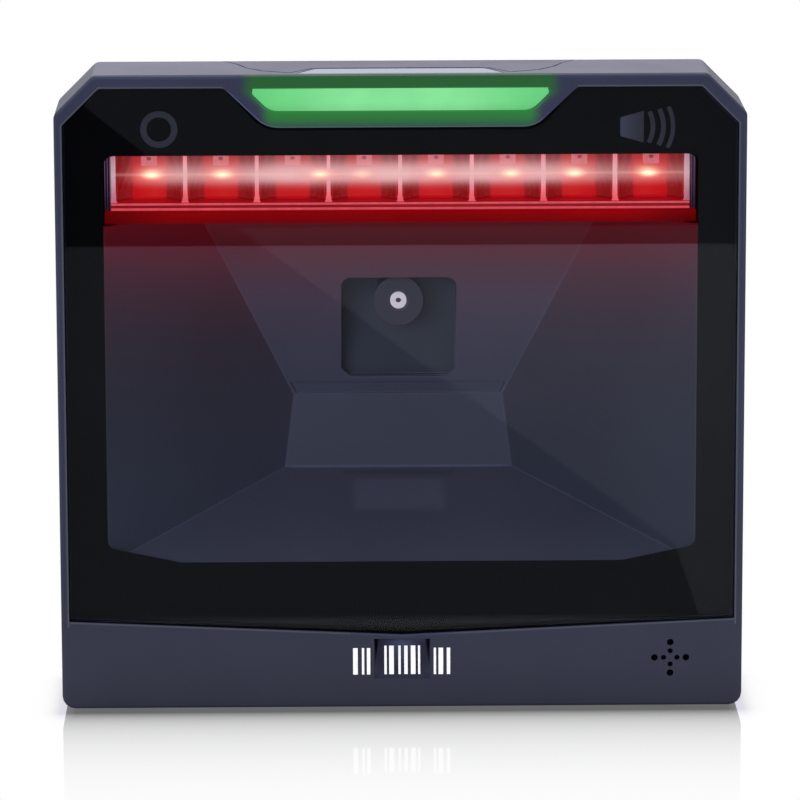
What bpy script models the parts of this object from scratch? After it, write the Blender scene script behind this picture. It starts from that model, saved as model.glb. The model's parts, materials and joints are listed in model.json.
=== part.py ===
"""Desktop presentation barcode scanner.

Every size is in millimetres and becomes metres in piece(). X runs across the scanner and Z runs up.
In the tables below Y is the depth behind the front face and Z the height above the housing's
underside; SHIFT then moves the origin to the middle of the footprint, under the rubber feet.
"""

import math

import bmesh
import bpy
from mathutils import Vector

MM = 0.001
GAP = 0.3
FIT = 0.2

# Housing
WIDTH = 160.0
HEIGHT = 150.2
DEPTH = 85.0
WALL = 2.2
TOP_CHAMFER = 9.1
BASE_RADIUS = 3.0
EDGE_ROUND = 0.8
BEZEL_DEPTH = 24.5
FOOT_PROUD, FOOT_RADIUS = 1.0, 6.0
HALF = WIDTH / 2
SHIFT = Vector((0.0, -DEPTH / 2, FOOT_PROUD))

# Stack behind the front face
GLASS_FRONT = 0.6
GLASS_BACK = 2.4
MASK_FRONT, MASK_BACK = 2.6, 2.8
LEDGE_FRONT, LEDGE_BACK = 3.8, 5.8
FLANGE_FRONT, FLANGE_BACK = 6.0, 7.5
LAMP_FRONT = 7.8

# Scan window outline
GLASS_HALF = 77.9
GLASS_TOP = 147.2
GLASS_LOW_END, GLASS_LOW_MID = 21.3, 17.8
NOTCH_TOP_HALF, NOTCH_LOW_HALF, NOTCH_LOW, NOTCH_RADIUS = 40.6, 31.3, 137.9, 7.0
APERTURE_HALF = 68.9
APERTURE_TOP, APERTURE_LOW, APERTURE_CORNER_LOW = 131.3, 34.7, 38.3
APERTURE_FLAT_HALF = 51.7
LEDGE_HALF, LEDGE_TOP, LEDGE_LOW = 70.5, 133.8, 32.4

# Indicator lenses and key on the top
LENS_TOP_HALF, LENS_LOW_HALF, LENS_TOP, LENS_LOW = 35.2, 30.2, 147.0, 142.0
LENS_TOP_RADIUS, LENS_LOW_RADIUS = 0.7, 4.5
STRIP_FRONT, STRIP_BACK, STRIP_FRONT_HALF, STRIP_BACK_HALF = 4.1, 12.1, 24.0, 19.6
KEY_FRONT = 12.6
SWITCH_Y = 18.0

# Optical hopper
HOPPER_WALL = 1.6
HOPPER_SLOPE = 0.735
FLOOR_FRONT, FLOOR_BACK = (3.0, 34.3), (59.0, 45.0)
PANEL_TOP, PANEL_LOW = (31.4, 114.2), (62.0, 62.6)

# Lamp bar
LAMP_HALF = 68.8
LAMP_LOW, LAMP_TOP = 114.5, 131.0
LENS_BAR_LOW, LENS_BAR_HALF = 117.5, 67.25
CELLS = 8
CELL_PITCH = 16.7
CELL_WALL = 0.9
LED_HALF, LED_FRONT, LED_BACK, LED_LOW = 1.8, 10.4, 13.4, 127.7
LIP_PROUD, LIP_HEIGHT, LIPS = 0.5, 0.45, (117.7, 118.9)
HOLDER_BACK, HOLDER_WALL = 17.8, 1.7

# Camera
CAMERA_Z = 88.0
SHROUD_HALF, SHROUD_LOW, SHROUD_TOP, SHROUD_WALL = 15.4, 66.0, 98.4, 1.5
CAMERA_BACK = 72.0
BARREL = [(50, 6), (54, 6), (54, 5), (68, 5)]
BARREL_HOLE, BARREL_BORE = 5.3, 3.6
BAFFLE = (63.0, 64.6)
PORT_HALF, PORT_LOW, PORT_TOP, PORT_CHAMFER = 13.8, 67.5, 95.0, 2.3

# Speaker and chin
SPEAKER_X, SPEAKER_Z = 63.1, 11.7
SPEAKER_HOLES = ((3.7, 0.8), (1.6, 0.62))
CHIN_FRONT, CHIN_TOP = 2.4, 15.5
SCOOP_HALF, SCOOP_DEPTH, SCOOP_SIDE = 6.6, 3.2, 1.9
SCOOP_LOW, SCOOP_TOP = 7.0, 16.6

# Fasteners and board
HOUSING_SCREWS = {"lower_left": (-74.4, 5.6), "lower_right": (74.4, 5.6),
                  "upper_left": (-70.0, 138.0), "upper_right": (70.0, 138.0)}
HOPPER_SCREWS = {"lower_left": (-73.6, 45.0), "lower_right": (73.6, 45.0),
                 "upper_left": (-73.6, 118.0), "upper_right": (73.6, 118.0)}
BOARD_SCREWS = {"left": (-38.0, 54.0), "right": (38.0, 54.0)}
HOUSING_PILOT, HOPPER_PILOT, BOARD_PILOT = 1.35, 1.1, 1.2
BOARD_FRONT, BOARD_BACK = 67.0, 68.6
FEET = {"front_left": (-62.0, 14.0), "front_right": (62.0, 14.0),
        "rear_left": (-48.0, 70.0), "rear_right": (48.0, 70.0)}
JACK_HALF, JACK_LOW, JACK_TOP = 7.6, 8.6, 22.6
LABEL_HALF, LABEL_LOW, LABEL_TOP = 22.0, 47.0, 71.0

# Finishes: colour, roughness, metallic
SHELL = ((0.052, 0.056, 0.082), 0.42, 0.0)
BLACK = ((0.012, 0.012, 0.015), 0.5, 0.0)
CAVITY = ((0.045, 0.05, 0.066), 0.35, 0.0)
GLASS = ((0.02, 0.022, 0.026), 0.05, 0.0)
CLEAR = ((0.85, 0.55, 0.56), 0.1, 0.0)
GREEN = ((0.25, 0.75, 0.32), 0.3, 0.0)
PALE = ((0.72, 0.76, 0.84), 0.3, 0.0)
RED = ((0.9, 0.05, 0.06), 0.3, 0.0)
BOARD = ((0.02, 0.16, 0.07), 0.4, 0.0)
STEEL = ((0.55, 0.56, 0.58), 0.35, 1.0)
RUBBER = ((0.02, 0.02, 0.02), 0.85, 0.0)
LABEL = ((0.62, 0.63, 0.65), 0.5, 0.0)
WHITE = ((0.85, 0.85, 0.86), 0.4, 0.0)
COPPER = ((0.55, 0.33, 0.12), 0.4, 0.0)


def spot(axis, level, a, b):
    """The point at this level along the axis, with a and b on the two other axes in X, Y, Z order."""
    return {"X": (level, a, b), "Y": (a, level, b), "Z": (a, b, level)}[axis]


def loft(rings):
    """A closed mesh through rings of points, with a cap on the first and the last."""
    mesh = bmesh.new()
    rows = [[mesh.verts.new(point) for point in ring] for ring in rings]
    count = len(rows[0])
    for low, high in zip(rows, rows[1:]):
        for i in range(count):
            j = (i + 1) % count
            mesh.faces.new((low[i], low[j], high[j], high[i]))
    mesh.faces.new(rows[0])
    mesh.faces.new(rows[-1])
    bmesh.ops.recalc_face_normals(mesh, faces=mesh.faces)
    return mesh


def prism(axis, outline, low, high):
    return loft([[spot(axis, level, a, b) for a, b in outline] for level in (low, high)])


def box(x, y, z):
    return prism("Y", [(x[0], z[0]), (x[1], z[0]), (x[1], z[1]), (x[0], z[1])], *y)


def circle(a, b, radius, sides=24):
    turns = [2 * math.pi * i / sides for i in range(sides)]
    return [(a + radius * math.cos(t), b + radius * math.sin(t)) for t in turns]


def rod(axis, centre, radius, low, high, sides=24):
    return prism(axis, circle(*centre, radius, sides), low, high)


def turned(axis, centre, profile, sides=24):
    """A solid of revolution from (level, radius) pairs, closed by flat ends."""
    rings = []
    for level, radius in profile:
        rings.append([spot(axis, level, a, b) for a, b in circle(*centre, radius, sides)])
    return loft(rings)


def rounded(corners, steps=4):
    """The outline through (a, b, radius) corners, with an arc where the radius isn't zero."""
    outline = []
    for i, (a, b, radius) in enumerate(corners):
        corner = Vector((a, b))
        if not radius:
            outline.append((a, b))
            continue
        before = (Vector(corners[i - 1][:2]) - corner).normalized()
        after = (Vector(corners[(i + 1) % len(corners)][:2]) - corner).normalized()
        half_angle = before.angle(after) / 2
        centre = corner + (before + after).normalized() * (radius / math.sin(half_angle))
        start = corner + before * (radius / math.tan(half_angle)) - centre
        sweep = start.angle_signed(corner + after * (radius / math.tan(half_angle)) - centre)
        for step in range(steps + 1):
            turn = -sweep * step / steps
            cos, sin = math.cos(turn), math.sin(turn)
            outline.append((centre.x + start.x * cos - start.y * sin,
                            centre.y + start.x * sin + start.y * cos))
    return outline


def mirrored(right):
    """The corners of a closed outline from those of its right half, listed upwards."""
    return right + [(-a, b, radius) for a, b, radius in reversed(right)]


def grown(outline, distance):
    """The outline moved outwards by this distance; it runs anticlockwise."""
    moved = []
    for i, point in enumerate(outline):
        before = (Vector(point) - Vector(outline[i - 1])).normalized()
        after = (Vector(outline[(i + 1) % len(outline)]) - Vector(point)).normalized()
        normals = Vector((before.y, -before.x)) + Vector((after.y, -after.x))
        moved.append(tuple(Vector(point) + normals * (2 * distance / normals.length_squared)))
    return moved


def ribbon(points, thickness):
    """The closed outline of a strip of this thickness along an open line."""
    sides = {1: [], -1: []}
    for i, point in enumerate(points):
        ahead = Vector(points[min(i + 1, len(points) - 1)])
        along = (ahead - Vector(points[max(i - 1, 0)])).normalized()
        for side, found in sides.items():
            across = Vector((along.y, -along.x)) * (side * thickness / 2)
            found.append(tuple(Vector(point) + across))
    return sides[1] + sides[-1][::-1]


def finish(name, look):
    colour, roughness, metallic = look
    material = bpy.data.materials.new(name)
    material.use_nodes = True
    shader = material.node_tree.nodes["Principled BSDF"]
    shader.inputs["Base Color"].default_value = (*colour, 1.0)
    shader.inputs["Roughness"].default_value = roughness
    shader.inputs["Metallic"].default_value = metallic
    return material


def piece(name, mesh, look=None, origin=(0, 0, 0)):
    """An object from a mesh in millimetres, with its own origin."""
    bmesh.ops.translate(mesh, vec=-Vector(origin), verts=mesh.verts)
    bmesh.ops.scale(mesh, vec=(MM, MM, MM), verts=mesh.verts)
    data = bpy.data.meshes.new(name)
    mesh.to_mesh(data)
    mesh.free()
    made = bpy.data.objects.new(name, data)
    made.location = (Vector(origin) + SHIFT) * MM
    bpy.context.scene.collection.objects.link(made)
    if look:
        data.materials.append(finish(name, look))
        data.shade_smooth()
        data.set_sharp_from_angle(angle=math.radians(30))
    return made


def combine(target, operation, *meshes):
    """Boolean modifiers on the target, one for each mesh, whose helpers stay out of the model."""
    for mesh in meshes:
        helper = piece(f"{target.name}_{operation.lower()}", mesh)
        helper.hide_render = True
        helper.display_type = "WIRE"
        step = target.modifiers.new(operation.title(), "BOOLEAN")
        step.operation = operation
        step.object = helper
        step.solver = "EXACT"
    return target


def cut(target, *meshes):
    return combine(target, "DIFFERENCE", *meshes)


def add(target, *meshes):
    return combine(target, "UNION", *meshes)


def shell_outline(half, height, chamfer, inset=0.0):
    """The housing's front outline, drawn in by an inset on every side."""
    leg = chamfer - inset * (2 - math.sqrt(2))
    side, top = half - inset, height - inset
    return rounded(mirrored([
        (side, inset, max(BASE_RADIUS - inset, 0.4)),
        (side, top - leg, 2.0),
        (side - leg, top, 2.0),
    ]))


def glass_outline(clearance=0.0):
    """Chamfered like the housing, with a notch at the top and a shallow V along the chin."""
    half, top = GLASS_HALF + clearance, GLASS_TOP + clearance
    leg = TOP_CHAMFER - 0.6
    return rounded(mirrored([
        (0.0, GLASS_LOW_MID - clearance, 0),
        (half, GLASS_LOW_END - clearance, 0.5),
        (half, top - leg, 1.0),
        (half - leg, top, 1.0),
        (NOTCH_TOP_HALF + clearance, top, 1.5),
        (NOTCH_LOW_HALF - clearance, NOTCH_LOW + clearance, NOTCH_RADIUS),
    ])[:-1])


def aperture_outline(clearance=0.0):
    half = APERTURE_HALF + clearance
    return rounded(mirrored([
        (APERTURE_FLAT_HALF, APERTURE_LOW - clearance, 0),
        (half, APERTURE_CORNER_LOW - clearance, 2.0),
        (half, APERTURE_TOP + clearance, 2.5),
    ]))


def lens_outline(clearance=0.0):
    return rounded(mirrored([
        (LENS_LOW_HALF + clearance, LENS_LOW - clearance, LENS_LOW_RADIUS),
        (LENS_TOP_HALF + clearance, LENS_TOP + clearance, LENS_TOP_RADIUS),
    ]))


def strip_outline(clearance=0.0):
    return rounded(mirrored([
        (STRIP_FRONT_HALF + clearance, STRIP_FRONT - clearance, 0.4),
        (STRIP_BACK_HALF + clearance, STRIP_BACK + clearance, 2.0),
    ]))


def key_outline(clearance=0.0, back=BEZEL_DEPTH - GAP):
    """The ogee panel behind the strip: its sides flare from the strip's ends to the ridge."""
    flare = 0.64 * (back - 19.5)
    side = [(20.4, KEY_FRONT), (25.6, 5.4), (32.0, 8.9), (35.5, 13.7), (37.6, 19.5), (37.6 + flare, back)]
    outline = side + [(-a, b) for a, b in reversed(side)]
    return grown(outline, clearance) if clearance else outline


def plate_plane_y(z, offset):
    """The depth of the hopper's sloping panel at this height, on a plane that far behind it."""
    run, drop = PANEL_LOW[0] - PANEL_TOP[0], PANEL_TOP[1] - PANEL_LOW[1]
    return PANEL_TOP[0] + (PANEL_TOP[1] - z) * run / drop + offset * math.hypot(run, drop) / drop


def wedge(profile, extra=0.0):
    """The profile in Y and Z, as wide as the hopper is at each depth."""
    half = [APERTURE_HALF + extra - HOPPER_SLOPE * (y - FLOOR_FRONT[0]) for y, _ in profile]
    return loft([[(side * w, y, z) for w, (y, z) in zip(half, profile)] for side in (1, -1)])


def scoop():
    """The finger recess under the window: its floor leans back as it rises and its sides round into it."""
    rings = []
    for step in range(7):
        rise = step / 6
        depth = 0.06 + (SCOOP_DEPTH - 0.06) * rise ** 1.5
        ring = [(SCOOP_HALF, -1.0), (-SCOOP_HALF, -1.0)]
        for side, turns in ((-1, range(0, 91, 18)), (1, range(90, -1, -18))):
            for turn in map(math.radians, turns):
                ring.append((side * (SCOOP_HALF - SCOOP_SIDE * (1 - math.cos(turn))), depth * math.sin(turn)))
        rings.append([(x, y, SCOOP_LOW + (SCOOP_TOP - SCOOP_LOW) * rise) for x, y in ring])
    return loft(rings)


def front_bezel():
    rings = []
    for step in range(4):
        turn = math.radians(30 * step)
        inset, depth = EDGE_ROUND * (1 - math.sin(turn)), EDGE_ROUND * (1 - math.cos(turn))
        outline = shell_outline(HALF, HEIGHT, TOP_CHAMFER, inset)
        rings.append([spot("Y", depth, a, b) for a, b in outline])
    outline = shell_outline(HALF, HEIGHT, TOP_CHAMFER)
    rings.append([spot("Y", BEZEL_DEPTH, a, b) for a, b in outline])
    bezel = piece("front_bezel", loft(rings), SHELL)
    room = piece("bezel_room", prism("Y", shell_outline(HALF, HEIGHT, TOP_CHAMFER, WALL), LEDGE_BACK,
                                     BEZEL_DEPTH + 1))
    room.hide_render = True
    room.display_type = "WIRE"
    cut(room, *[rod("Y", place, 3.2, LEDGE_BACK - 1, BEZEL_DEPTH + 2, 16)
                for place in HOUSING_SCREWS.values()])
    hollow = bezel.modifiers.new("Room", "BOOLEAN")
    hollow.object = room
    ledge = rounded([(-LEDGE_HALF, LEDGE_LOW, 2), (LEDGE_HALF, LEDGE_LOW, 2),
                     (LEDGE_HALF, LEDGE_TOP, 2), (-LEDGE_HALF, LEDGE_TOP, 2)])
    chin = (WALL, CHIN_TOP)
    cut(
        bezel,
        prism("Y", glass_outline(FIT), -1, LEDGE_FRONT),
        prism("Y", ledge, LEDGE_FRONT - 1, LEDGE_BACK + 1),
        box((-75.8, -13), (CHIN_FRONT, LEDGE_BACK + 1), chin),
        box((13, 51), (CHIN_FRONT, LEDGE_BACK + 1), chin),
        rod("Y", (SPEAKER_X, SPEAKER_Z), 6.8, CHIN_FRONT, LEDGE_BACK + 1),
        scoop(),
        prism("Y", lens_outline(FIT), -1, LEDGE_BACK + 1),
        prism("Z", strip_outline(FIT), 148.0, HEIGHT + 1),
        prism("Z", key_outline(GAP, BEZEL_DEPTH + 1), 147.0, HEIGHT + 1),
    )
    for angle in range(0, 360, 90):
        for reach, radius in SPEAKER_HOLES:
            place = (SPEAKER_X + reach * math.cos(math.radians(angle)),
                     SPEAKER_Z + reach * math.sin(math.radians(angle)))
            cut(bezel, rod("Y", place, radius, -1, 3, 16))
    cut(bezel, *[rod("Y", place, HOUSING_PILOT, 12, BEZEL_DEPTH + 1, 12)
                 for place in HOUSING_SCREWS.values()])
    cut(bezel, *[rod("Y", place, HOPPER_PILOT, 4.4, LEDGE_BACK + 1, 12)
                 for place in HOPPER_SCREWS.values()])
    cut(bezel, *[rod("Z", place, FOOT_RADIUS + GAP, -1, 1.1)
                 for name, place in FEET.items() if "front" in name])


def window():
    piece("scan_window", prism("Y", glass_outline(), GLASS_FRONT, GLASS_BACK), GLASS)
    mask = piece("window_mask", prism("Y", glass_outline(-0.3), MASK_FRONT, MASK_BACK), BLACK)
    cut(mask, prism("Y", aperture_outline(), MASK_FRONT - 1, MASK_BACK + 1))
    gasket = piece("window_gasket", prism("Y", glass_outline(-0.6), 3.0, 3.6), BLACK)
    hole = rounded([(-LEDGE_HALF, LEDGE_LOW, 2), (LEDGE_HALF, LEDGE_LOW, 2),
                    (LEDGE_HALF, LEDGE_TOP, 2), (-LEDGE_HALF, LEDGE_TOP, 2)])
    cut(gasket, prism("Y", hole, 2, 5))


def indicators():
    piece("front_indicator_lens", prism("Y", lens_outline(), 0.3, 4.8), GREEN)
    piece("top_indicator_lens", prism("Z", strip_outline(), 148.3, HEIGHT - 0.1), PALE)
    piece("indicator_board", box((-26, 26), (7.5, 22.4), (140.4, 141.6)), BOARD)
    for i, x in enumerate((-18, 0, 18)):
        led = box((x - 1.8, x + 1.8), (8.0, 9.8), (141.9, 143.4))
        piece(f"indicator_led_{i + 1}", led, WHITE)


def top_key():
    """The key hangs on side flanges under the top wall and presses a tactile switch."""
    key = piece("top_key", prism("Z", key_outline(), 147.9, HEIGHT), SHELL, (0, SWITCH_Y, HEIGHT))
    flange = [(-43, 16), (43, 16), (43, 22.5), (-43, 22.5)]
    add(key, prism("Z", flange, 146.6, 147.7), box((-36, 36), (17, 22), (147.0, 148.2)))
    add(key, rod("Z", (0, SWITCH_Y), 2.0, 145.6, 147.0, 16))
    switch = piece("key_switch", box((-3, 3), (SWITCH_Y - 3, SWITCH_Y + 3), (141.9, 144.6)), BLACK)
    cut(switch, rod("Z", (0, SWITCH_Y), 1.9, 142.9, 146, 16))
    plunger = turned("Z", (0, SWITCH_Y), [(143.8, 1.6), (145.2, 1.6), (145.3, 1.4)], 16)
    piece("switch_plunger", plunger, RED, (0, SWITCH_Y, 143.8))


def touch_pads():
    for side, x in (("left", -55.8), ("right", 56.6)):
        piece(f"touch_pad_{side}", rod("Y", (x, 137.5), 4.0, 6.1, 6.7), COPPER)


def hopper():
    """The funnel between the window and the camera, with the flange that screws to the bezel."""
    lamp_line = PANEL_TOP[1]
    inside = [FLOOR_FRONT, FLOOR_BACK, PANEL_LOW, PANEL_TOP, (18.1, lamp_line)]
    skin = grown([(FLANGE_FRONT, 34.9)] + inside[1:], HOPPER_WALL)
    skin[0] = (FLANGE_FRONT, skin[0][1])
    skin[-1] = (18.1, lamp_line + HOPPER_WALL)
    skin += [(18.1, lamp_line), (FLANGE_FRONT, lamp_line)]
    body = piece("optical_hopper", wedge(skin, 2.0), CAVITY)
    lip = rounded([(-70.1, 32.8, 2), (70.1, 32.8, 2), (70.1, 133.2, 2), (-70.1, 133.2, 2)])
    flange = [(-76.6, 28.5), (76.6, 28.5), (76.6, 133.4), (-76.6, 133.4)]
    add(body, prism("Y", lip, 3.1, FLANGE_BACK), prism("Y", flange, FLANGE_FRONT, FLANGE_BACK))
    groove = [(plate_plane_y(66, -1), 66), (plate_plane_y(62.8, -1), 62.8),
              (plate_plane_y(62.8, 0.8), 62.8), (plate_plane_y(66, 0.8), 66)]
    port = rounded(mirrored([(PORT_HALF - PORT_CHAMFER, PORT_LOW, 0), (PORT_HALF, PORT_LOW + PORT_CHAMFER, 0),
                             (PORT_HALF, PORT_TOP, PORT_CHAMFER)]))
    cut(
        body,
        wedge([(2.0, 34.1)] + inside[1:] + [(18.1, 131.6), (2.0, 131.6)]),
        box((-69.2, 69.2), (2, 9), (lamp_line, 131.6)),
        wedge(groove, -0.5),
        prism("Y", port, 36, 80),
    )
    cut(body, *[rod("Y", place, HOPPER_PILOT, 5, 9, 12) for place in HOPPER_SCREWS.values()])


def lamp_bar():
    """Eight clear cells under a strip of lamps, closed behind and below by a holder."""
    ends, bar_ends = (-LAMP_HALF, LAMP_HALF), (-LENS_BAR_HALF, LENS_BAR_HALF)
    lens = piece("led_lens_bar", box(bar_ends, (LAMP_FRONT, 15.8), (LENS_BAR_LOW, LAMP_TOP)), CLEAR)
    lip = (LAMP_FRONT - LIP_PROUD, LAMP_FRONT + LIP_PROUD)
    add(lens, *[box(bar_ends, lip, (low, low + LIP_HEIGHT)) for low in LIPS])
    wall = CELL_WALL / 2
    for i in range(CELLS):
        left = (i - CELLS / 2) * CELL_PITCH
        middle = left + CELL_PITCH / 2
        cut(lens, box((left + wall, left + CELL_PITCH - wall), (9.0, 14.8), (119.2, 132.0)))
        across = (middle - LED_HALF, middle + LED_HALF)
        piece(f"led_{i + 1}", box(across, (LED_FRONT, LED_BACK), (LED_LOW, LAMP_TOP)), RED)
    shelf = LENS_BAR_LOW - GAP
    wall_front = HOLDER_BACK - HOLDER_WALL
    holder = [(LAMP_FRONT, LAMP_LOW), (HOLDER_BACK, LAMP_LOW), (HOLDER_BACK, LAMP_TOP),
              (wall_front, LAMP_TOP), (wall_front, shelf), (LAMP_FRONT, shelf)]
    piece("led_bar_holder", prism("X", holder, *ends), BLACK)
    piece("led_board", box(ends, (LAMP_FRONT, HOLDER_BACK), (LAMP_TOP + GAP, 132.9)), BOARD)


def camera():
    back = CAMERA_BACK
    skin = HOPPER_WALL + GAP
    sides = [(plate_plane_y(SHROUD_TOP, skin), SHROUD_TOP), (plate_plane_y(SHROUD_LOW, skin), SHROUD_LOW),
             (back, SHROUD_LOW), (back, SHROUD_TOP)]
    shroud = piece("camera_shroud", prism("X", sides, -SHROUD_HALF, SHROUD_HALF), BLACK)
    inner = (SHROUD_WALL - SHROUD_HALF, SHROUD_HALF - SHROUD_WALL)
    height = (SHROUD_LOW + SHROUD_WALL, SHROUD_TOP - SHROUD_WALL)
    for depth in ((40, BAFFLE[0]), (BAFFLE[1], back + 2)):
        cut(shroud, box(inner, depth, height))
    cut(shroud, rod("Y", (0, CAMERA_Z), BARREL_HOLE, 40, back + 2, 32))
    board = box((-SHROUD_HALF, SHROUD_HALF), (back + GAP, 73.9), (SHROUD_LOW, SHROUD_TOP))
    piece("camera_board", board, BOARD)
    axis = (0, CAMERA_Z)
    holder = piece("lens_holder", box((-8, 8), (BAFFLE[1] + GAP, back), (CAMERA_Z - 8, CAMERA_Z + 8)), BLACK)
    cut(holder, rod("Y", axis, BARREL_HOLE, 61, back + 1))
    barrel = piece("lens_barrel", turned("Y", axis, BARREL, 32), BLACK)
    cut(barrel, turned("Y", axis, [(49, 2.3), (52, 2.3), (52, BARREL_BORE), (69, BARREL_BORE)], 32))
    piece("lens_ring", turned("Y", axis, [(50.2, 2.0), (51.4, 2.0)], 24), WHITE)
    cut(bpy.data.objects["lens_ring"], rod("Y", axis, 0.7, 49, 53, 16))
    dome = [(52.3, 0.6), (52.5, 1.8), (52.9, 2.7), (53.4, 3.3), (54.5, 3.3)]
    piece("lens_glass", turned("Y", axis, dome), GLASS)
    sensor = box((-3.2, 3.2), (70.4, back - GAP), (CAMERA_Z - 3.2, CAMERA_Z + 3.2))
    piece("image_sensor", sensor, BLACK)
    path = [(74.4, 74), (74.4, 64), (69.2, 57), (69.2, 48)]
    piece("camera_ribbon", prism("X", ribbon(path, 0.3), -5, 5), COPPER)


def electronics():
    board = piece("main_board", box((-44, 44), (BOARD_FRONT, BOARD_BACK), (8, 60)), BOARD)
    cut(board, *[rod("Y", place, 1.4, 66, 70, 16) for place in BOARD_SCREWS.values()])
    piece("decoder_chip", box((-7, 7), (65.2, 66.7), (36, 50)), BLACK)
    piece("memory_chip", box((14, 24), (65.6, 66.7), (38, 48)), BLACK)
    jack = piece("interface_jack", box((-JACK_HALF, JACK_HALF), (68.9, 84.2), (JACK_LOW, JACK_TOP)), BLACK)
    cut(jack, box((-5.9, 5.9), (72, 85), (11.2, 18.6)), box((-3.2, 3.2), (72, 85), (18.0, 20.8)))


def speaker():
    """A small loudspeaker behind the chin; its diaphragm rides on a soft edge in the frame."""
    axis = (SPEAKER_X, SPEAKER_Z)
    frame = piece("speaker_frame", rod("Y", axis, 8.8, 6.1, 9.6, 32), BLACK)
    cut(frame, rod("Y", axis, 7.7, 5, 8.8, 32), rod("Y", axis, 4.2, 8, 11))
    piece("speaker_magnet", rod("Y", axis, 6.0, 9.9, 13.4), STEEL)
    cone = piece("speaker_cone", turned("Y", axis, [(6.8, 7.3), (7.1, 7.3), (8.2, 3.4), (9.3, 3.4)]), BLACK,
                 (SPEAKER_X, 7.0, SPEAKER_Z))
    cut(cone, turned("Y", axis, [(6.0, 6.9), (6.8, 6.9), (7.9, 2.4), (8.0, 0.6)]))


def rear_sections(inset):
    """The rear shell's outline at each depth: it drops and narrows from the ridge to the back."""
    sections = [(BEZEL_DEPTH + GAP, HALF, HEIGHT, 9.1), (30, 79.2, 147.6, 9.6), (58, 72.5, 130, 13),
                (79, 66.5, 114, 16), (83.6, 64.2, 111, 16), (DEPTH, 62, 108.4, 15.5)]
    rings = []
    for depth, half, height, chamfer in sections:
        y = depth
        if inset:
            y = depth - 2 if depth < 26 else min(depth, DEPTH - WALL)
        rings.append([spot("Y", y, a, b) for a, b in shell_outline(half, height, chamfer, inset)])
    return rings[:4] + rings[5:] if inset else rings


def rear_housing():
    shell = piece("rear_housing", loft(rear_sections(0)), SHELL)
    room = piece("rear_room", loft(rear_sections(WALL)))
    room.hide_render = True
    room.display_type = "WIRE"
    cut(room, *[rod("Y", place, 4.6, 20, 90, 20) for place in HOUSING_SCREWS.values()])
    cut(room, *[rod("Y", place, 3.0, BOARD_BACK + GAP, 90, 16) for place in BOARD_SCREWS.values()])
    hollow = shell.modifiers.new("Room", "BOOLEAN")
    hollow.object = room
    cut(shell, *[rod("Y", place, 1.4, 20, 30, 12) for place in HOUSING_SCREWS.values()])
    cut(shell, *[rod("Y", place, 3.0, 27.4, 90, 20) for place in HOUSING_SCREWS.values()])
    cut(shell, *[rod("Y", place, BOARD_PILOT, 60, 78, 12) for place in BOARD_SCREWS.values()])
    cut(shell, box((-JACK_HALF - 0.4, JACK_HALF + 0.4), (80, 90), (JACK_LOW - 0.4, JACK_TOP + 0.4)))
    wide, tall = LABEL_HALF + GAP, (LABEL_LOW - GAP, LABEL_TOP + GAP)
    cut(shell, box((-wide, wide), (DEPTH - 0.6, 90), tall))
    cut(shell, *[rod("Z", place, FOOT_RADIUS + GAP, -1, 1.1)
                 for name, place in FEET.items() if "rear" in name])
    label = box((-LABEL_HALF, LABEL_HALF), (DEPTH - 0.3, DEPTH - 0.1), (LABEL_LOW, LABEL_TOP))
    piece("rating_label", label, LABEL)


def screw(name, place, head_at, head_radius, head_height, shaft_radius, tip):
    """A pan-head screw along Y with a cross recess; its head faces the back."""
    top = head_at + head_height
    profile = [(tip, shaft_radius), (head_at, shaft_radius), (head_at, head_radius), (top - 0.4, head_radius),
               (top, head_radius - 0.4)]
    made = piece(name, turned("Y", place, profile, 16), STEEL)
    x, z = place
    arm, blade = head_radius * 0.6, 0.35
    cut(made, box((x - arm, x + arm), (top - 0.7, top + 1), (z - blade, z + blade)),
        box((x - blade, x + blade), (top - 0.7, top + 1), (z - arm, z + arm)))


def fasteners():
    for corner, place in HOUSING_SCREWS.items():
        screw(f"housing_screw_{corner}", place, 27.7, 2.6, 1.9, 1.1, 12.6)
    for corner, place in HOPPER_SCREWS.items():
        screw(f"hopper_screw_{corner}", place, 7.8, 2.0, 1.4, 0.9, 4.6)
    for side, place in BOARD_SCREWS.items():
        x, z = place
        profile = [(65.1, 2.2), (66.7, 2.2), (66.7, 1.0), (76.0, 1.0)]
        made = piece(f"board_screw_{side}", turned("Y", place, profile, 16), STEEL)
        arm, blade = 1.4, 0.35
        cut(made, box((x - arm, x + arm), (64, 65.8), (z - blade, z + blade)),
            box((x - blade, x + blade), (64, 65.8), (z - arm, z + arm)))


def base():
    piece("ballast_plate", box((-46, 46), (28, 62), (2.6, 6.6)), STEEL)
    for name, place in FEET.items():
        pad = [(-FOOT_PROUD, FOOT_RADIUS - 0.5), (-0.6, FOOT_RADIUS), (0.8, FOOT_RADIUS)]
        piece(f"foot_{name}", turned("Z", place, pad), RUBBER)


def lamp_lead():
    """The lamp bar's lead, held along the hopper's outside down to the main board."""
    route = [(58, 20.5, 131), (60, 23, 126), (61.5, 28, 118), (60, 36, 106), (56, 45, 90), (50, 54, 74),
             (44, 61, 62), (39, 63.6, 52), (34, 64.4, 44), (30, 64.6, 38)]
    line = bpy.data.curves.new("lamp_lead", "CURVE")
    line.dimensions = "3D"
    line.bevel_depth = 0.8 * MM
    line.bevel_resolution = 2
    line.use_fill_caps = True
    path = line.splines.new("POLY")
    path.points.add(len(route) - 1)
    for point, place in zip(path.points, route):
        point.co = (*(Vector(place) * MM), 1.0)
    lead = bpy.data.objects.new("lamp_lead", line)
    lead.location = SHIFT * MM
    line.materials.append(finish("lamp_lead", RUBBER))
    bpy.context.scene.collection.objects.link(lead)


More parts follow.
